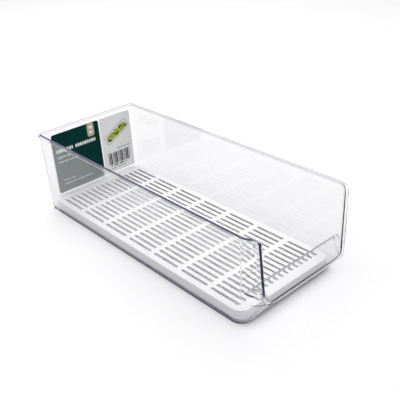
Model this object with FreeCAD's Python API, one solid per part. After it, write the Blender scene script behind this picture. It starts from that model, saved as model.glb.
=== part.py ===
import FreeCAD, Part
import math
import os

# Open-front fridge bin: a clear one-piece moulding, a white slotted drain tray that
# lifts out of it, and two label stickers on the inside of the back wall.
# Millimetres. +Z is up, the open front faces -Y, and the origin is on the floor line
# under the middle of the overall footprint.

# ---- clear bin ----
BIN_HEIGHT = 107.0
WALL = 2.0
FLOOR = 2.2
HALF_WIDTH_BASE = 72.8      # outer face of the side walls at the floor
HALF_WIDTH_TOP = 74.2       # the same at the rim, so the walls have a little draft
BACK_BASE_Y = 188.4         # outer face of the back wall at the floor
BACK_TOP_Y = 190.4
BACK_CORNER_R = 4.5
FOOT_Y = -168.8             # front edge of the floor
FOOT_CORNER_R = 14.0
NOSE_Y = -190.4             # outer face of the front, above the raked toe
NOSE_Z = 31.5               # height at which the toe reaches that face
FRONT_CORNER_R = 21.0
TOE_WALL = 2.4              # the toe's thickness measured level, for a 2 mm wall
UNDERSIDE_STEP = 0.8        # the floor stands on a narrow foot ring
FOOT_RING = 5.0

# ---- front opening, U-shaped, between the free edges of the front corners ----
OPENING_HALF_TOP = 64.8
OPENING_HALF_LOW = 62.0
OPENING_CORNER_R = 13.0
FLARE_WIDTH = 5.5           # the free edges turn out to the rim over this width
FLARE_HEIGHT = 8.2          # and over this height
FLARE_RISE = 0.55           # share of the height that leaves along the free edge
FLARE_RUN = 0.45            # share of the width at which it is level with the rim

# ---- bead along the rim and down the free edges ----
RIM_REACH = 2.0             # how far the bead stands out of the wall
RIM_DEPTH = 2.6             # how far it runs back from the edge

# ---- low front lip, curling back from the nose over the front of the tray ----
LIP_TOP_Y = -173.6
LIP_TOP_Z = 45.0
LIP_MID_Y = -184.6
LIP_MID_Z = 40.2
LIP_THICK = 2.0
LIP_EDGE_R = 1.3            # the lip's free edge is thickened to this radius
LIP_ROOT = 1.0              # the lip starts this far below the nose, inside the toe wall

# ---- raised bead across each end of the lip, as (distance from the middle, y) ----
LIP_BEAD_TOP = (66.0, -172.5)
LIP_BEAD_MID = (58.0, -180.2)
LIP_BEAD_LOW = (54.2, -190.6)
LIP_BEAD_WIDTH = 1.8
LIP_BEAD_HEIGHT = 1.0

# ---- how far cutting and joining shapes overrun what they cut ----
OVERRUN = 20.0              # past the front of the bin
CUT_MARGIN = 1.0            # past any other face

# ---- drain tray ----
TRAY_TOP_Z = 14.7
TRAY_CLEAR_FLOOR = 0.4
TRAY_HALF_WIDTH = 70.0
TRAY_BACK_Y = 184.8
TRAY_FRONT_Y = -166.8
TRAY_CORNER_R = 13.0
TRAY_DRAFT = 0.8            # the skirt comes in by this much towards the floor
TRAY_PLATE = 1.8
TRAY_SKIRT = 1.8
SLOT_ROWS = 7
SLOT_COLUMNS = 16
SLOT_ROW_PITCH = 47.3
SLOT_COLUMN_PITCH = 8.04
SLOT_LENGTH = 41.2
SLOT_WIDTH = 3.7
FIRST_ROW_BACK_Y = 169.6
TRAY_RIB_DEPTH = 5.0
TRAY_RIB_THICK = 1.6

# ---- stickers on the inside of the back wall ----
STICKER_THICK = 0.25
STICKER_GAP = 0.02          # the stickers sit this far off the wall
STICKER_BOTTOM_Z = 15.8
STICKER_TOP_Z = 100.0
STICKER_CORNER_R = 3.0
GREEN_X = (-58.4, 15.4)
GREY_X = (16.8, 68.2)


def vec(x, y, z):
    return FreeCAD.Vector(x, y, z)


def rounded_plan(half_width, y_front, y_back, r_front, r_back, z):
    """Horizontal rounded-rectangle wire; the two front and two back corners differ."""
    corners = [
        (half_width, y_back, r_back, 0.0),
        (-half_width, y_back, r_back, 90.0),
        (-half_width, y_front, r_front, 180.0),
        (half_width, y_front, r_front, 270.0),
    ]
    arcs = []
    for x, y, radius, start in corners:
        cx = x - math.copysign(radius, x)
        cy = y - radius if y == y_back else y + radius
        points = []
        for step in (0.0, 45.0, 90.0):
            angle = math.radians(start + step)
            points.append(vec(cx + radius * math.cos(angle), cy + radius * math.sin(angle), z))
        arcs.append(points)
    edges = []
    for index, points in enumerate(arcs):
        edges.append(Part.Arc(points[0], points[1], points[2]).toShape())
        following = arcs[(index + 1) % len(arcs)]
        edges.append(Part.makeLine(points[2], following[0]))
    return Part.Wire(edges)


def body_plan(offset, toe_offset, z):
    """Outline of the bin at height z, grown by offset on the back, sides and upright
    front and by toe_offset along the raked toe."""
    part_way = z / BIN_HEIGHT
    half_width = HALF_WIDTH_BASE + (HALF_WIDTH_TOP - HALF_WIDTH_BASE) * part_way + offset
    back = BACK_BASE_Y + (BACK_TOP_Y - BACK_BASE_Y) * part_way + offset
    up_toe = min(z / NOSE_Z, 1.0)
    front = FOOT_Y + (NOSE_Y - FOOT_Y) * up_toe
    front -= toe_offset if up_toe < 1.0 else offset
    corner = FOOT_CORNER_R + (FRONT_CORNER_R - FOOT_CORNER_R) * up_toe
    return rounded_plan(half_width, front, back, corner + offset, BACK_CORNER_R + offset, z)


def body_block(offset, toe_offset, z_low, z_high):
    """Solid between two heights inside the bin's outline grown by the offsets."""
    toe = Part.makeLoft([body_plan(offset, toe_offset, z_low),
                         body_plan(offset, offset, NOSE_Z)], True, True)
    upright = Part.makeLoft([body_plan(offset, offset, NOSE_Z),
                             body_plan(offset, offset, z_high)], True, True)
    return toe.fuse(upright)


def bin_outside():
    return body_block(0.0, 0.0, 0.0, BIN_HEIGHT)


def bin_inside():
    return body_block(-WALL, -TOE_WALL, FLOOR, BIN_HEIGHT + CUT_MARGIN)


def across(wire, half_width):
    """Extrude a wire drawn in the YZ plane to both sides of the middle."""
    face = Part.Face(wire)
    face.translate(vec(-half_width, 0.0, 0.0))
    return face.extrude(vec(2.0 * half_width, 0.0, 0.0))


def flare(side, half_top, top):
    """Curve on which a free edge turns outwards to meet the rim, from low to high."""
    low = top - FLARE_HEIGHT
    out = half_top + FLARE_WIDTH
    poles = [
        vec(side * half_top, NOSE_Y - OVERRUN, low),
        vec(side * half_top, NOSE_Y - OVERRUN, low + FLARE_HEIGHT * FLARE_RISE),
        vec(side * (half_top + FLARE_WIDTH * FLARE_RUN), NOSE_Y - OVERRUN, top),
        vec(side * out, NOSE_Y - OVERRUN, top),
    ]
    curve = Part.BezierCurve()
    curve.setPoles(poles)
    return curve.toShape()


def front_opening(outset):
    """Cutter for the U-shaped opening in the front, made larger by outset."""
    half_top = OPENING_HALF_TOP + outset
    half_low = OPENING_HALF_LOW + outset
    rim = BIN_HEIGHT - outset
    sill = NOSE_Z - outset
    radius = OPENING_CORNER_R + outset
    swing = radius * (1.0 - math.sqrt(0.5))
    y = NOSE_Y - OVERRUN
    above = BIN_HEIGHT + OVERRUN
    half_out = half_top + FLARE_WIDTH
    edges = [Part.makeLine(vec(-half_low + radius, y, sill), vec(half_low - radius, y, sill)),
             Part.makeLine(vec(-half_out, y, above), vec(half_out, y, above))]
    for side in (-1.0, 1.0):
        corner_low = vec(side * (half_low - radius), y, sill)
        corner_mid = vec(side * (half_low - swing), y, sill + swing)
        corner_high = vec(side * half_low, y, sill + radius)
        flare_low = vec(side * half_top, y, rim - FLARE_HEIGHT)
        edges.append(Part.Arc(corner_low, corner_mid, corner_high).toShape())
        edges.append(Part.makeLine(corner_high, flare_low))
        edges.append(flare(side, half_top, rim))
        edges.append(Part.makeLine(vec(side * half_out, y, rim), vec(side * half_out, y, above)))
    face = Part.Face(Part.Wire(Part.__sortEdges__(edges)))
    return face.extrude(vec(0.0, OVERRUN + FRONT_CORNER_R + WALL, 0.0))


def lip_section(grow):
    """Section of the curled lip in the YZ plane, with its outer face moved out by grow."""
    diagonal = math.sqrt(0.5)
    root_z = NOSE_Z - LIP_ROOT
    outer_low = vec(0.0, NOSE_Y - grow, root_z)
    outer_mid = vec(0.0, LIP_MID_Y - grow * diagonal, LIP_MID_Z + grow * diagonal)
    outer_top = vec(0.0, LIP_TOP_Y, LIP_TOP_Z + grow)
    inner_top = vec(0.0, LIP_TOP_Y, LIP_TOP_Z - LIP_THICK)
    inner_mid = vec(0.0, LIP_MID_Y + LIP_THICK * diagonal, LIP_MID_Z - LIP_THICK * diagonal)
    inner_low = vec(0.0, NOSE_Y + LIP_THICK, root_z)
    edges = [
        Part.Arc(outer_low, outer_mid, outer_top).toShape(),
        Part.makeLine(outer_top, inner_top),
        Part.Arc(inner_top, inner_mid, inner_low).toShape(),
        Part.makeLine(inner_low, outer_low),
    ]
    return Part.Wire(edges)


def lip_end_bead(side):
    """Raised bead that crosses one end of the lip and runs down to the nose."""
    root_z = NOSE_Z - LIP_ROOT
    near = [vec(side * x, y, root_z) for x, y in (LIP_BEAD_TOP, LIP_BEAD_MID, LIP_BEAD_LOW)]
    far = [point + vec(side * LIP_BEAD_WIDTH, 0.0, 0.0) for point in near]
    edges = [
        Part.Arc(near[0], near[1], near[2]).toShape(),
        Part.makeLine(near[2], far[2]),
        Part.Arc(far[2], far[1], far[0]).toShape(),
        Part.makeLine(far[0], near[0]),
    ]
    ribbon = Part.Face(Part.Wire(edges)).extrude(vec(0.0, 0.0, OVERRUN))
    return ribbon.common(across(lip_section(LIP_BEAD_HEIGHT), HALF_WIDTH_TOP))


def lip_edge():
    """Rounded bead along the lip's free edge, from one front corner to the other."""
    reach = HALF_WIDTH_TOP + WALL
    centre = vec(-reach, LIP_TOP_Y, LIP_TOP_Z - LIP_THICK / 2.0)
    return Part.makeCylinder(LIP_EDGE_R, 2.0 * reach, centre, vec(1.0, 0.0, 0.0))


def front_lip():
    """Low lip that curls back from the nose, closed against the front corners."""
    strip = across(lip_section(0.0), HALF_WIDTH_TOP + WALL)
    strip = strip.fuse([lip_edge(), lip_end_bead(-1.0), lip_end_bead(1.0)])
    return strip.common(bin_outside())


def slab_above(z):
    """Everything over height z that can belong to the bin."""
    reach = BACK_TOP_Y + OVERRUN
    return Part.makeBox(2.0 * reach, 2.0 * reach, BIN_HEIGHT, vec(-reach, -reach, z))


def rim_bead():
    """Bead that follows the rim and the whole edge of the front opening."""
    grown = body_block(RIM_REACH, RIM_REACH, 0.0, BIN_HEIGHT)
    collar = grown.cut(bin_inside()).cut(front_opening(0.0))
    along_rim = collar.common(slab_above(BIN_HEIGHT - RIM_DEPTH))
    beside_opening = collar.common(front_opening(RIM_DEPTH))
    return along_rim.fuse(beside_opening.common(slab_above(NOSE_Z - RIM_DEPTH)))


def bin_shell():
    """The clear bin: floor, back, two side walls with rounded front corners, raked toe,
    the low curled lip and the bead round every free edge."""
    shell = bin_outside().cut(bin_inside()).cut(front_opening(0.0))
    ring_inner = rounded_plan(HALF_WIDTH_BASE - FOOT_RING, FOOT_Y + FOOT_RING,
                              BACK_BASE_Y - FOOT_RING, FOOT_CORNER_R, BACK_CORNER_R, 0.0)
    recess = Part.Face(ring_inner).extrude(vec(0.0, 0.0, UNDERSIDE_STEP))
    shell = shell.fuse(front_lip()).fuse(rim_bead()).cut(recess)
    return shell.removeSplitter()


def tray_slot(x, y_back):
    """One drain slot: a long hole with round ends, running front to back."""
    radius = SLOT_WIDTH / 2.0
    depth = TRAY_PLATE + 2.0 * CUT_MARGIN
    base_z = TRAY_TOP_Z - TRAY_PLATE - CUT_MARGIN
    y_front = y_back - SLOT_LENGTH
    bar = Part.makeBox(SLOT_WIDTH, SLOT_LENGTH - SLOT_WIDTH, depth,
                       vec(x - radius, y_front + radius, base_z))
    near = Part.makeCylinder(radius, depth, vec(x, y_front + radius, base_z))
    far = Part.makeCylinder(radius, depth, vec(x, y_back - radius, base_z))
    return bar.fuse([near, far]).removeSplitter()


def tray_block(inset, z_low, z_high):
    """Solid of the tray's outline, set in by inset, with the skirt's draft."""
    wires = []
    for z in (z_low, z_high):
        draft = TRAY_DRAFT * (TRAY_TOP_Z - z) / TRAY_TOP_Z
        shrink = inset + draft
        wires.append(rounded_plan(TRAY_HALF_WIDTH - shrink, TRAY_FRONT_Y + shrink,
                                  TRAY_BACK_Y - shrink, TRAY_CORNER_R - inset,
                                  TRAY_CORNER_R - inset, z))
    return Part.makeLoft(wires, True, True)


def drain_tray():
    """White drain tray: slotted top plate on a skirt, with a rib under each cross bar."""
    bottom_z = FLOOR + TRAY_CLEAR_FLOOR
    under_plate = TRAY_TOP_Z - TRAY_PLATE
    body = tray_block(0.0, bottom_z, TRAY_TOP_Z)
    body = body.cut(tray_block(TRAY_SKIRT, bottom_z - CUT_MARGIN, under_plate))
    ribs = []
    bar_middle = (SLOT_ROW_PITCH - SLOT_LENGTH) / 2.0
    for row in range(1, SLOT_ROWS):
        y = FIRST_ROW_BACK_Y - row * SLOT_ROW_PITCH + bar_middle
        ribs.append(Part.makeBox(2.0 * (TRAY_HALF_WIDTH - TRAY_SKIRT), TRAY_RIB_THICK,
                                 TRAY_RIB_DEPTH,
                                 vec(TRAY_SKIRT - TRAY_HALF_WIDTH, y - TRAY_RIB_THICK / 2.0,
                                     under_plate - TRAY_RIB_DEPTH)))
    body = body.fuse(ribs)
    slots = []
    for row in range(SLOT_ROWS):
        y_back = FIRST_ROW_BACK_Y - row * SLOT_ROW_PITCH
        for column in range(SLOT_COLUMNS):
            x = (column - (SLOT_COLUMNS - 1) / 2.0) * SLOT_COLUMN_PITCH
            slots.append(tray_slot(x, y_back))
    return body.cut(Part.makeCompound(slots)).removeSplitter()


def sticker(x_range):
    """Thin paper sticker lying on the inside of the sloping back wall."""
    x_low, x_high = x_range
    radius = STICKER_CORNER_R
    width = x_high - x_low
    height = STICKER_TOP_Z - STICKER_BOTTOM_Z
    slab = Part.makeBox(width, STICKER_THICK, height, vec(x_low, 0.0, STICKER_BOTTOM_Z))
    through = []
    for edge in slab.Edges:
        if edge.BoundBox.YLength > STICKER_THICK / 2.0:
            through.append(edge)
    slab = slab.makeFillet(radius, through)
    lean = math.atan2(BACK_TOP_Y - BACK_BASE_Y, BIN_HEIGHT)
    face_y = BACK_BASE_Y - WALL
    slab.rotate(vec(0.0, 0.0, 0.0), vec(1.0, 0.0, 0.0), -math.degrees(lean))
    slab.translate(vec(0.0, face_y - STICKER_THICK - STICKER_GAP, 0.0))
    return slab


def save(shape, node):
    shape.exportStep("parts/" + node + ".step")


os.makedirs("parts", exist_ok=True)
save(bin_shell(), "clear_bin")
save(drain_tray(), "drain_tray")
save(sticker(GREEN_X), "green_label")
save(sticker(GREY_X), "grey_label")
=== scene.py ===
import bpy
import bmesh
import math
from mathutils import Matrix, Vector


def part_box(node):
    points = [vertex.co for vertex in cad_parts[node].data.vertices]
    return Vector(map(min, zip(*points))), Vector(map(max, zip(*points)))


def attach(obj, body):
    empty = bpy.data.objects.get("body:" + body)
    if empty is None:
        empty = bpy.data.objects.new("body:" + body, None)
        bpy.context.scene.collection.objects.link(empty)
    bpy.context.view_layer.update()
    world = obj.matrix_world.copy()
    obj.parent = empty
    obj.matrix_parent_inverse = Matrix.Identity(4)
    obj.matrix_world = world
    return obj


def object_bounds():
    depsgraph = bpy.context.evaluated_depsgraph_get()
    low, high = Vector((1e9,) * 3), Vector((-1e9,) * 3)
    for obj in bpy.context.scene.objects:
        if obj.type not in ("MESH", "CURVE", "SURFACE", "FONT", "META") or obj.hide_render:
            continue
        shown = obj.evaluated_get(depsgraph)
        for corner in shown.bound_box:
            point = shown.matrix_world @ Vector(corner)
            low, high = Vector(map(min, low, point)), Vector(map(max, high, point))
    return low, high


# Looks for the fridge bin: clear moulding, white drain tray and two printed stickers.
# Metres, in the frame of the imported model: +Z up, open front towards -Y.

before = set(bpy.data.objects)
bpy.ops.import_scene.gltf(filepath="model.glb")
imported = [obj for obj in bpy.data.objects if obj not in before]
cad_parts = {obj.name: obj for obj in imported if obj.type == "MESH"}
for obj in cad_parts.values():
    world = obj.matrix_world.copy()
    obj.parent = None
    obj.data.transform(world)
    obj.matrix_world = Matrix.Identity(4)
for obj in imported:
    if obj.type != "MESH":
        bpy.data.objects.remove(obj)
CAD_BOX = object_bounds()
MM = 0.001

# ---- camera, as azimuth and elevation round a point near the middle of the bin ----
CAMERA_AZIMUTH = -41.1
CAMERA_ELEVATION = 28.9
CAMERA_ROLL = -3.2
CAMERA_DISTANCE = 0.767
CAMERA_LENS = 56.2
CAMERA_SENSOR = 36.0
CAMERA_NEAR = 0.01
CAMERA_AIM = Vector((0.0284, -0.001, 0.040))

# ---- studio: the surround is dimmer near the horizon so that edges read darker ----
HORIZON_TONE = (0.52, 0.52, 0.53)
OVERHEAD_TONE = (0.97, 0.97, 0.97)
TONE_START = 0.05               # upward part of the direction where the tone starts to rise
TONE_END = 0.65                 # and where it is as bright as overhead
FLOOR_SIZE = 8.0
FLOOR_DROP = 0.15 * MM          # gap that keeps the floor off the bin's foot
FLOOR_DARK = (0.860, 0.860, 0.862)
FLOOR_LIGHT = (0.870, 0.870, 0.870)
FLOOR_MOTTLE_SCALE = 6.0
FLOOR_ROUGHNESS = 0.75
LAMP_PLACE = Vector((0.15, 0.75, 1.4))
LAMP_SIZE = 1.4
LAMP_POWER = 11.9
LONG_PATH = 160                 # bounces that light may take through the clear walls
DIFFUSE_PATH = 8
TRANSPARENT_PATH = 32

# ---- parts of the moulding that get painted shade or a painted reflection tint, as distances from the CAD box ----
FOOT_EDGE = 1.7 * MM            # height of the base's outer edge
STEEP = 0.8                     # upward part of the normal below which a face counts as steep
RING_FRONT = 28.6 * MM          # inner edge of the foot ring, behind the box's front
RING_BACK = 9.0 * MM            # and ahead of its back
RING_HALF_WIDTH = 67.8 * MM
RING_RADIUS = 14.0 * MM         # corner radius of the line along that edge
RING_LINE = 1.7 * MM            # width of the painted shade line
RING_SLACK = 0.1 * MM           # and how far it reaches inside the edge
RING_HEIGHT = 0.9 * MM
LIP_FROM_FRONT = 20.5 * MM      # the lip's bead lies in front of this,
LIP_LOW = 44.85 * MM            # and gets painted shade between these heights
LIP_HIGH = 46.0 * MM
OPENING_HALF = 64.0 * MM        # and this far to each side of the middle
RIM_EDGE = 2.65 * MM            # depth of the rim, down from the top
POST_EDGE = 6.5 * MM            # the free front edges lie in front of this,
POST_FOOT = 46.5 * MM           # and have their painted indigo reflection tint above this

# ---- clear plastic ----
CLEAR_IOR = 1.50
WALL_COLOUR = (0.942, 0.940, 0.937)
# Painted shade: the glass's colour darkens towards grazing angles, standing in for its dark edges.
GRAZING_PAINTED_SHADE = (0.42, 0.42, 0.48)
GRAZING_START = 0.68            # Layer Weight facing values between which it comes in
GRAZING_END = 0.97
# Painted shade: darker tones laid on the rim, the lip's bead, the base's outer edge and a near-black
# line along the foot ring's inner edge, standing in for their dark edges.
RIM_PAINTED_SHADE = (0.89, 0.89, 0.905)
LIP_PAINTED_SHADE = (0.30, 0.30, 0.35)
FOOT_PAINTED_SHADE = (0.42, 0.42, 0.48)
RING_PAINTED_SHADE = (0.035, 0.033, 0.075)
PLAIN_SHEEN = (1.0, 1.0, 1.0)
# Painted reflection tint: the reflections on the free front edges are tinted indigo.
POST_PAINTED_SHEEN = (0.55, 0.55, 1.0)
SHADOW_TONE = (0.935, 0.935, 0.938, 1.0)
INDIGO = (0.63, 0.625, 0.785, 1.0)
INDIGO_DENSITY = 40.0
SMUDGE_SCALE = 28.0
SMUDGE_ROUGHNESS = (0.015, 0.07)
WAVE_SCALE = 16.0
WAVE_STRENGTH = 0.12
WAVE_HEIGHT = 1.2 * MM

# ---- white plastic ----
WHITE_IOR = 1.49
WHITE_DARK = (0.945, 0.945, 0.943)
WHITE_LIGHT = (0.965, 0.965, 0.962)
WHITE_MOTTLE_SCALE = 22.0
WHITE_GLOSS_SCALE = 60.0
WHITE_ROUGHNESS = (0.30, 0.44)
WHITE_GRAIN_SCALE = 2600.0
WHITE_GRAIN_STRENGTH = 0.10
WHITE_GRAIN_HEIGHT = 0.1 * MM

# ---- sticker paper and inks ----
PAPER_IOR = 1.5
PAPER_SPECULAR = 0.03
PAPER_MOTTLE_SCALE = 900.0
PAPER_GLOSS_SCALE = 240.0
PAPER_GRAIN_SCALE = 3200.0
PAPER_GRAIN_STRENGTH = 0.12
PAPER_GRAIN_HEIGHT = 0.05 * MM

# Each paper or ink: its two mottled colours, then its lowest and highest roughness.
PRINT_LOOKS = {
    "green_paper": ((0.0012, 0.036, 0.031), (0.0020, 0.043, 0.038), 0.44, 0.56),
    "grey_paper": ((0.86, 0.865, 0.86), (0.90, 0.905, 0.90), 0.38, 0.52),
    "white_ink": ((0.80, 0.82, 0.81), (0.88, 0.89, 0.88), 0.36, 0.48),
    "pale_green_ink": ((0.42, 0.50, 0.47), (0.50, 0.57, 0.54), 0.36, 0.48),
    "line_ink": ((0.13, 0.14, 0.17), (0.20, 0.21, 0.24), 0.36, 0.48),
    "black_ink": ((0.015, 0.015, 0.017), (0.03, 0.03, 0.033), 0.40, 0.55),
    "beige_ink": ((0.50, 0.42, 0.30), (0.62, 0.53, 0.39), 0.45, 0.60),
    "lime_ink": ((0.46, 0.58, 0.03), (0.70, 0.76, 0.12), 0.36, 0.48),
    "leaf_ink": ((0.035, 0.075, 0.008), (0.12, 0.20, 0.02), 0.36, 0.48),
    "shade_ink": ((0.33, 0.34, 0.35), (0.42, 0.43, 0.44), 0.36, 0.48),
}

# ---- print, in millimetres from a sticker's lower left corner ----
INK = 0.04 * MM                 # thickness of one layer of ink
INK_FOOT = 0.25                 # share of a layer by which the first one clears the paper
STICKER = 0.25 * MM
MARK_ROUND = 0.3                # corner radius, as a share of a mark's height or a bar's width
OVAL_STEPS = 20

# Rows of plain marks: left end, height up the sticker, height of a mark, widths, gap.
GREEN_ROWS = (
    (6.0, 50.4, 2.6, (8.0, 3.4, 6.0), 1.6),
    (6.0, 43.6, 1.9, (8.0, 6.0, 9.0, 6.0), 1.3),
    (9.5, 16.4, 1.6, (9.0, 8.0), 1.4),
    (9.5, 11.0, 1.5, (12.0, 7.0, 14.0, 8.0), 1.2),
)
GREY_ROWS = (
    (24.0, 33.6, 1.5, (8.0, 6.0, 5.0), 1.4),
    (10.0, 5.6, 1.1, (9.0, 8.0, 6.0), 1.2),
)
ROWS_BELOW_BARS = (
    (11.0, 9.8, 1.7, (2.2, 7.5, 7.5, 2.2), 2.4),
)

# The title's two groups of marks: left end, height up the sticker, height of a mark, count.
TITLE_WORDS = (
    (5.0, 59.5, 5.4, 7),
    (33.5, 59.5, 5.4, 9),
)
WORD_MARK = 2.5                 # width of the narrowest mark in a group
WORD_STEP = 0.45                # widths grow from it in steps of this
WORD_GAP = 0.75

TAG_ACROSS = 60.4
TAG_UP = 74.5
TAG_OUTLINE = (11.0, 19.0, 3.2)         # width, height, corner radius
TAG_MARK_OUTLINE = (6.2, 4.2, 2.0)
TAG_MARKS_UP = (78.0, 71.0)

BARS = (8.0, 45.5, 12.0, 29.5)          # left, right, low, high
BAR_WIDTH = 0.9
BAR_WIDTH_STEP = 0.55
BAR_GAP = 0.7
BAR_GAP_STEP = 0.45
BAR_CORNER = 0.12
BAR_CORNER_STEPS = 2

PICTURE_MIDDLE = (26.7, 58.2)
PICTURE_TILT = 28.0
PICTURE_OUTLINE = (42.0, 15.0, 3.0)
PICTURE_INSIDE = (40.9, 13.9, 2.5)
LEAF_ROWS = 3
LEAF_COLUMNS = 9
LEAF_START = (-15.6, -2.7)              # first leaf, along and across the tilted picture
LEAF_PITCH = (3.9, 2.7)
LEAF_STAGGER = 1.2
LEAF_SHIFT = 0.5                        # share of the stagger that moves a leaf
LEAF_TURN = 38.0
LEAF_SIZE = (6.2, 3.8)
HIGHLIGHT_SIZE = (4.9, 2.3)
HIGHLIGHT_SHIFT = 0.4                   # share of the stagger that moves a highlight,
HIGHLIGHT_UP = 0.4                      # and how far it sits above its leaf


# ---------------------------------------------------------------- node helpers
# The owner is whatever holds the node tree: a material or the world.

def new_material(name):
    material = bpy.data.materials.new(name)
    material.use_nodes = True
    material.node_tree.nodes.clear()
    return material


def add(owner, kind, **sockets):
    """Adds a node and sets its input sockets by name."""
    node = owner.node_tree.nodes.new(kind)
    for socket, value in sockets.items():
        node.inputs[socket.replace("_", " ")].default_value = value
    return node


def link(owner, source, target):
    owner.node_tree.links.new(source, target)


def object_coordinates(owner):
    return add(owner, "ShaderNodeTexCoord").outputs["Object"]


def noise(owner, scale, detail=2.0, roughness=0.5):
    """Noise over the object's own coordinates, in cycles per metre."""
    node = add(owner, "ShaderNodeTexNoise", Scale=scale, Detail=detail, Roughness=roughness)
    link(owner, object_coordinates(owner), node.inputs["Vector"])
    return node.outputs["Fac"]


def spread(owner, value, low, high, start=0.3, end=0.7):
    """Maps start..end of a value, by default the busy part of a noise, on to low..high."""
    node = add(owner, "ShaderNodeMapRange")
    node.inputs["From Min"].default_value = start
    node.inputs["From Max"].default_value = end
    node.inputs["To Min"].default_value = low
    node.inputs["To Max"].default_value = high
    link(owner, value, node.inputs["Value"])
    return node.outputs["Result"]


def two_tone(owner, value, first, second):
    """Blends two colours by a value."""
    node = owner.node_tree.nodes.new("ShaderNodeMix")
    node.data_type = "RGBA"
    link(owner, value, node.inputs["Factor"])
    node.inputs["A"].default_value = (*first, 1.0)
    node.inputs["B"].default_value = (*second, 1.0)
    return node.outputs["Result"]


def over(owner, under, mask, colour):
    """Lays a colour over another one where the mask is 1."""
    result = two_tone(owner, mask, colour, colour)
    link(owner, under, result.node.inputs["A"])
    return result


def bump(owner, value, strength, distance):
    node = add(owner, "ShaderNodeBump", Strength=strength, Distance=distance)
    link(owner, value, node.inputs["Height"])
    return node.outputs["Normal"]


def surface(owner, shader):
    output = add(owner, "ShaderNodeOutputMaterial")
    link(owner, shader, output.inputs["Surface"])
    return output


def calculate(owner, operation, first, second=0.0):
    """A Math node. Its inputs are sockets or plain numbers."""
    node = owner.node_tree.nodes.new("ShaderNodeMath")
    node.operation = operation
    for socket, value in zip(node.inputs, (first, second)):
        if isinstance(value, float):
            socket.default_value = value
        else:
            link(owner, value, socket)
    return node.outputs["Value"]


def below(owner, value, threshold):
    return calculate(owner, "LESS_THAN", value, threshold)


def above(owner, value, threshold):
    return calculate(owner, "GREATER_THAN", value, threshold)


def both(owner, *masks):
    """1 where every mask is 1."""
    result = masks[0]
    for mask in masks[1:]:
        result = calculate(owner, "MULTIPLY", result, mask)
    return result


def split_vector(owner, vector):
    node = add(owner, "ShaderNodeSeparateXYZ")
    link(owner, vector, node.inputs["Vector"])
    return node.outputs["X"], node.outputs["Y"], node.outputs["Z"]


def place(owner):
    """The x, y and z of a point on the object."""
    return split_vector(owner, object_coordinates(owner))


# ---------------------------------------------------------------- tinted parts of the moulding

def foot_shade_mask(material):
    """1 on the outer edge of the base, where the floor is seen edge-on, and 0 elsewhere."""
    normal = add(material, "ShaderNodeNewGeometry").outputs["Normal"]
    upward = calculate(material, "ABSOLUTE", split_vector(material, normal)[2])
    low = below(material, place(material)[2], CAD_BOX[0].z + FOOT_EDGE)
    return both(material, low, below(material, upward, STEEP))


def ring_shade_line(material):
    """1 along the inner edge of the foot ring, a rounded rectangle, and 0 elsewhere."""
    x, y, z = place(material)
    front = CAD_BOX[0].y + RING_FRONT
    back = CAD_BOX[1].y - RING_BACK
    half_length = (back - front) / 2.0
    from_middle = calculate(material, "SUBTRACT", y, (front + back) / 2.0)
    squares = []
    for value, half in ((x, RING_HALF_WIDTH), (from_middle, half_length)):
        size = calculate(material, "ABSOLUTE", value)
        past = calculate(material, "SUBTRACT", size, half - RING_RADIUS)
        outside = calculate(material, "MAXIMUM", past, 0.0)
        squares.append(calculate(material, "MULTIPLY", outside, outside))
    reach = calculate(material, "SQRT", calculate(material, "ADD", squares[0], squares[1]))
    return both(material, above(material, reach, RING_RADIUS - RING_SLACK),
                below(material, reach, RING_RADIUS + RING_LINE),
                below(material, z, CAD_BOX[0].z + RING_HEIGHT))


def lip_shade_mask(material):
    """1 on the upper part of the bead along the front lip, and 0 elsewhere."""
    x, y, z = place(material)
    return both(material, below(material, y, CAD_BOX[0].y + LIP_FROM_FRONT),
                below(material, calculate(material, "ABSOLUTE", x), OPENING_HALF),
                above(material, z, CAD_BOX[0].z + LIP_LOW),
                below(material, z, CAD_BOX[0].z + LIP_HIGH))


def rim_shade_mask(material):
    """1 on the rim, and 0 elsewhere."""
    return above(material, place(material)[2], CAD_BOX[1].z - RIM_EDGE)


def post_sheen_mask(material):
    """1 on the free edges that stand beside the front opening, and 0 elsewhere."""
    y, z = place(material)[1:]
    return both(material, below(material, y, CAD_BOX[0].y + POST_EDGE),
                above(material, z, CAD_BOX[0].z + POST_FOOT))


# ---------------------------------------------------------------- materials

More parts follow.
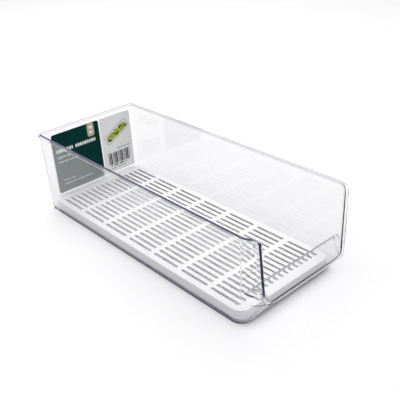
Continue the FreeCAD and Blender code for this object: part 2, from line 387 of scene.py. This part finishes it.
def clear_plastic():
    """Clear moulding: true refraction and a faint indigo that builds up along the inside of
    the walls, with slow waves from moulding and light smudges from handling."""
    material = new_material("clear_plastic_look")
    body = add(material, "ShaderNodeBsdfPrincipled", IOR=CLEAR_IOR, Transmission_Weight=1.0)
    facing = add(material, "ShaderNodeLayerWeight").outputs["Facing"]
    # Painted shade: the glass darkens towards grazing angles.
    grazing_shade_mask = spread(material, facing, 0.0, 1.0, GRAZING_START, GRAZING_END)
    colour = two_tone(material, grazing_shade_mask, WALL_COLOUR, GRAZING_PAINTED_SHADE)
    # Painted shade: darker tones on the rim, the lip's bead and the base's outer edge, and a
    # near-black line along the foot ring's inner edge.
    colour = over(material, colour, rim_shade_mask(material), RIM_PAINTED_SHADE)
    colour = over(material, colour, lip_shade_mask(material), LIP_PAINTED_SHADE)
    colour = over(material, colour, foot_shade_mask(material), FOOT_PAINTED_SHADE)
    colour = over(material, colour, ring_shade_line(material), RING_PAINTED_SHADE)
    link(material, colour, body.inputs["Base Color"])
    # Painted reflection tint: the reflections on the free front edges are tinted indigo.
    painted_post_sheen = two_tone(material, post_sheen_mask(material), PLAIN_SHEEN, POST_PAINTED_SHEEN)
    link(material, painted_post_sheen, body.inputs["Specular Tint"])
    smudge_noise = noise(material, SMUDGE_SCALE, detail=4.0, roughness=0.6)
    smudge = spread(material, smudge_noise, *SMUDGE_ROUGHNESS)
    link(material, smudge, body.inputs["Roughness"])
    waves = bump(material, noise(material, WAVE_SCALE, detail=1.0), WAVE_STRENGTH, WAVE_HEIGHT)
    link(material, waves, body.inputs["Normal"])
    clear = add(material, "ShaderNodeBsdfTransparent", Color=SHADOW_TONE)
    rays = add(material, "ShaderNodeLightPath")
    mix = add(material, "ShaderNodeMixShader")
    link(material, rays.outputs["Is Shadow Ray"], mix.inputs["Fac"])
    link(material, body.outputs["BSDF"], mix.inputs[1])
    link(material, clear.outputs["BSDF"], mix.inputs[2])
    output = surface(material, mix.outputs["Shader"])
    absorb = add(material, "ShaderNodeVolumeAbsorption", Density=INDIGO_DENSITY, Color=INDIGO)
    link(material, absorb.outputs["Volume"], output.inputs["Volume"])
    return material


def white_plastic():
    """Satin white moulding with a very fine grain."""
    material = new_material("white_plastic_look")
    body = add(material, "ShaderNodeBsdfPrincipled", IOR=WHITE_IOR)
    tone = spread(material, noise(material, WHITE_MOTTLE_SCALE, detail=3.0), 0.0, 1.0)
    link(material, two_tone(material, tone, WHITE_DARK, WHITE_LIGHT), body.inputs["Base Color"])
    gloss = spread(material, noise(material, WHITE_GLOSS_SCALE, detail=3.0), *WHITE_ROUGHNESS)
    link(material, gloss, body.inputs["Roughness"])
    grain = noise(material, WHITE_GRAIN_SCALE)
    link(material, bump(material, grain, WHITE_GRAIN_STRENGTH, WHITE_GRAIN_HEIGHT),
         body.inputs["Normal"])
    surface(material, body.outputs["BSDF"])
    return material


def printed_paper(name, first, second, rough_low, rough_high):
    """Coated sticker paper or the ink on it, slightly mottled."""
    material = new_material(name)
    body = add(material, "ShaderNodeBsdfPrincipled", IOR=PAPER_IOR,
               Specular_IOR_Level=PAPER_SPECULAR)
    mottle = spread(material, noise(material, PAPER_MOTTLE_SCALE, detail=3.0), 0.0, 1.0)
    link(material, two_tone(material, mottle, first, second), body.inputs["Base Color"])
    rough = spread(material, noise(material, PAPER_GLOSS_SCALE), rough_low, rough_high)
    link(material, rough, body.inputs["Roughness"])
    grain = noise(material, PAPER_GRAIN_SCALE, detail=3.0)
    link(material, bump(material, grain, PAPER_GRAIN_STRENGTH, PAPER_GRAIN_HEIGHT),
         body.inputs["Normal"])
    surface(material, body.outputs["BSDF"])
    return material


def dress(node, material):
    """Gives a CAD node its finished material."""
    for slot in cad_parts[node].material_slots:
        slot.material = material


CLEAR = clear_plastic()
WHITE = white_plastic()
PRINTS = {name: printed_paper(name, *look) for name, look in PRINT_LOOKS.items()}

dress("clear_bin", CLEAR)
dress("drain_tray", WHITE)
dress("green_label", PRINTS["green_paper"])
dress("grey_label", PRINTS["grey_paper"])


# ---------------------------------------------------------------- print on the stickers

class Sheet:
    """A sticker's front face. Points on it are given in millimetres from its lower left
    corner, as seen from the open front."""

    def __init__(self, node):
        self.low, self.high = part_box(node)
        self.lean = (self.high.y - STICKER - self.low.y) / (self.high.z - self.low.z)

    def point(self, across, up, lift):
        z = self.low.z + up * MM
        y = self.low.y + self.lean * (z - self.low.z)
        return Vector((self.low.x + across * MM, y - lift, z))


def rounded_outline(width, height, radius, steps=5):
    """Counter-clockwise points of a rounded rectangle round the origin."""
    points = []
    for quarter, (sx, sy) in enumerate(((1, 1), (-1, 1), (-1, -1), (1, -1))):
        for step in range(steps + 1):
            angle = math.radians(90.0 * (quarter + step / steps))
            x = sx * (width / 2.0 - radius) + radius * math.cos(angle)
            y = sy * (height / 2.0 - radius) + radius * math.sin(angle)
            points.append((x, y))
    return points


def oval_outline(width, height):
    turn = 2.0 * math.pi / OVAL_STEPS
    return [(width / 2.0 * math.cos(turn * i), height / 2.0 * math.sin(turn * i))
            for i in range(OVAL_STEPS)]


def stamp(mesh, sheet, outline, across, up, tilt, layer):
    """Adds one closed patch of ink: an outline, turned by tilt degrees and laid on the sheet."""
    c, s = math.cos(math.radians(tilt)), math.sin(math.radians(tilt))
    rings = []
    base = (layer + INK_FOOT) * INK
    for lift in (base, base + INK):
        ring = []
        for x, y in outline:
            at = sheet.point(across + x * c - y * s, up + x * s + y * c, lift)
            ring.append(mesh.verts.new(at))
        rings.append(ring)
    back, front = rings
    mesh.faces.new(front)
    mesh.faces.new(list(reversed(back)))
    for i in range(len(outline)):
        j = (i + 1) % len(outline)
        mesh.faces.new((back[i], back[j], front[j], front[i]))


def print_piece(name, patches, sheet, ink):
    """One piece of print. patches are (outline, across, up, tilt, layer)."""
    mesh = bmesh.new()
    for patch in patches:
        stamp(mesh, sheet, *patch)
    bmesh.ops.recalc_face_normals(mesh, faces=mesh.faces)
    data = bpy.data.meshes.new(name)
    mesh.to_mesh(data)
    mesh.free()
    data.materials.append(PRINTS[ink])
    piece = bpy.data.objects.new(name, data)
    bpy.context.scene.collection.objects.link(piece)
    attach(piece, "bin")


def line_of_marks(left, up, height, widths, gap):
    """A row of plain rounded marks, standing where a line of print would be."""
    patches = []
    across = left
    for width in widths:
        outline = rounded_outline(width, height, height * MARK_ROUND)
        patches.append((outline, across + width / 2.0, up, 0.0, 0))
        across += width + gap
    return patches


def lines_of_marks(rows):
    return [patch for row in rows for patch in line_of_marks(*row)]


def word_of_marks(left, up, height, count):
    """A tight group of plain marks of uneven width, standing where a word would be."""
    widths = [WORD_MARK + WORD_STEP * ((index * 5) % 3) for index in range(count)]
    return line_of_marks(left, up, height, widths, WORD_GAP)


def bar_block(left, right, low, high):
    """Plain upright bars of uneven width, from a fixed formula. They hold no code."""
    patches = []
    across = left
    index = 0
    while across < right:
        width = BAR_WIDTH + BAR_WIDTH_STEP * ((index * 5) % 4 % 3)
        gap = BAR_GAP + BAR_GAP_STEP * ((index * 3) % 4 % 3)
        width = min(width, right - across)
        corner = min(BAR_CORNER, width * MARK_ROUND)
        outline = rounded_outline(width, high - low, corner, BAR_CORNER_STEPS)
        patches.append((outline, across + width / 2.0, (low + high) / 2.0, 0.0, 0))
        across += width + gap
        index += 1
    return patches


def leaves():
    """Plain leaf shapes in the picture, and the highlights on most of them."""
    middle_x, middle_z = PICTURE_MIDDLE
    c, s = math.cos(math.radians(PICTURE_TILT)), math.sin(math.radians(PICTURE_TILT))
    dark, light = [], []
    for row in range(LEAF_ROWS):
        for column in range(LEAF_COLUMNS):
            stagger = LEAF_STAGGER * ((column + row * 2) % 3 - 1)
            a = LEAF_START[0] + column * LEAF_PITCH[0] + stagger * LEAF_SHIFT
            b = LEAF_START[1] + row * LEAF_PITCH[1]
            x, z = middle_x + a * c - b * s, middle_z + a * s + b * c
            turn = PICTURE_TILT + LEAF_TURN * ((column * 2 + row) % 3 - 1)
            dark.append((oval_outline(*LEAF_SIZE), x, z, turn, 2))
            if (column + row) % 4:
                x, z = x + HIGHLIGHT_SHIFT * stagger, z + HIGHLIGHT_UP
                light.append((oval_outline(*HIGHLIGHT_SIZE), x, z, turn, 3))
    return dark, light


def green_print():
    sheet = Sheet("green_label")
    title = [patch for word in TITLE_WORDS for patch in word_of_marks(*word)]
    tag = [(rounded_outline(*TAG_OUTLINE), TAG_ACROSS, TAG_UP, 0.0, 0)]
    tag_marks = [(rounded_outline(*TAG_MARK_OUTLINE), TAG_ACROSS, up, 0.0, 1) for up in TAG_MARKS_UP]
    for name, patches, ink in (
            ("green_title_marks", title, "white_ink"),
            ("green_small_marks", lines_of_marks(GREEN_ROWS), "pale_green_ink"),
            ("beige_tag", tag, "beige_ink"),
            ("tag_marks", tag_marks, "white_ink")):
        print_piece(name, patches, sheet, ink)


def grey_print():
    sheet = Sheet("grey_label")
    box = [(rounded_outline(*PICTURE_OUTLINE), *PICTURE_MIDDLE, PICTURE_TILT, 0)]
    inside = [(rounded_outline(*PICTURE_INSIDE), *PICTURE_MIDDLE, PICTURE_TILT, 1)]
    dark, light = leaves()
    for name, patches, ink in (
            ("upright_bars", bar_block(*BARS), "black_ink"),
            ("grey_small_marks", lines_of_marks(GREY_ROWS), "shade_ink"),
            ("marks_below_bars", lines_of_marks(ROWS_BELOW_BARS), "black_ink"),
            ("picture_box", box, "line_ink"),
            ("picture_box_inside", inside, "grey_paper"),
            ("picture_leaves", dark, "leaf_ink"),
            ("picture_highlights", light, "lime_ink")):
        print_piece(name, patches, sheet, ink)


green_print()
grey_print()


# ---------------------------------------------------------------- studio

def floor_material():
    material = new_material("studio_floor")
    body = add(material, "ShaderNodeBsdfPrincipled", Roughness=FLOOR_ROUGHNESS)
    tone = spread(material, noise(material, FLOOR_MOTTLE_SCALE), 0.0, 1.0)
    colour = two_tone(material, tone, FLOOR_DARK, FLOOR_LIGHT)
    link(material, colour, body.inputs["Base Color"])
    surface(material, body.outputs["BSDF"])
    return material


def make_floor():
    mesh = bmesh.new()
    bmesh.ops.create_grid(mesh, x_segments=2, y_segments=2, size=FLOOR_SIZE / 2.0)
    data = bpy.data.meshes.new("studio_floor")
    mesh.to_mesh(data)
    mesh.free()
    data.materials.append(floor_material())
    floor = bpy.data.objects.new("studio_floor", data)
    floor.location.z = CAD_BOX[0].z - FLOOR_DROP
    bpy.context.scene.collection.objects.link(floor)


def make_lamp():
    """One square lamp above and behind the bin, aimed at the origin."""
    lamp = bpy.data.lights.new("key_lamp", "AREA")
    lamp.shape = "RECTANGLE"
    lamp.size = LAMP_SIZE
    lamp.size_y = LAMP_SIZE
    lamp.energy = LAMP_POWER
    holder = bpy.data.objects.new("key_lamp", lamp)
    holder.location = LAMP_PLACE
    holder.rotation_euler = (-LAMP_PLACE).to_track_quat("-Z", "Y").to_euler()
    bpy.context.scene.collection.objects.link(holder)


def make_world():
    world = bpy.data.worlds.new("studio")
    world.use_nodes = True
    background = world.node_tree.nodes["Background"]
    direction = add(world, "ShaderNodeTexCoord").outputs["Generated"]
    height = split_vector(world, direction)[2]
    rise = spread(world, height, 0.0, 1.0, TONE_START, TONE_END)
    tone = two_tone(world, rise, HORIZON_TONE, OVERHEAD_TONE)
    link(world, tone, background.inputs["Color"])
    background.inputs["Strength"].default_value = 1.0
    bpy.context.scene.world = world


def make_camera():
    a, e = math.radians(CAMERA_AZIMUTH), math.radians(CAMERA_ELEVATION)
    back = Vector((math.sin(a) * math.cos(e), -math.cos(a) * math.cos(e), math.sin(e)))
    right = Vector((math.cos(a), math.sin(a), 0.0))
    up = back.cross(right)
    turn = Matrix((right, up, back)).transposed().to_4x4()
    roll = Matrix.Rotation(math.radians(CAMERA_ROLL), 4, "Z")
    data = bpy.data.cameras.new("camera")
    data.lens = CAMERA_LENS
    data.sensor_width = CAMERA_SENSOR
    data.clip_start = CAMERA_NEAR
    camera = bpy.data.objects.new("camera", data)
    camera.matrix_world = Matrix.Translation(CAMERA_AIM + back * CAMERA_DISTANCE) @ turn @ roll
    bpy.context.scene.collection.objects.link(camera)
    bpy.context.scene.camera = camera


def set_light_paths():
    """Long light paths, because light runs far along the inside of the clear walls."""
    cycles = bpy.context.scene.cycles
    cycles.max_bounces = LONG_PATH
    cycles.transmission_bounces = LONG_PATH
    cycles.glossy_bounces = LONG_PATH
    cycles.diffuse_bounces = DIFFUSE_PATH
    cycles.transparent_max_bounces = TRANSPARENT_PATH


make_floor()
make_world()
make_lamp()
make_camera()
set_light_paths()
bpy.context.scene.view_settings.view_transform = "Standard"

bpy.context.view_layer.update()
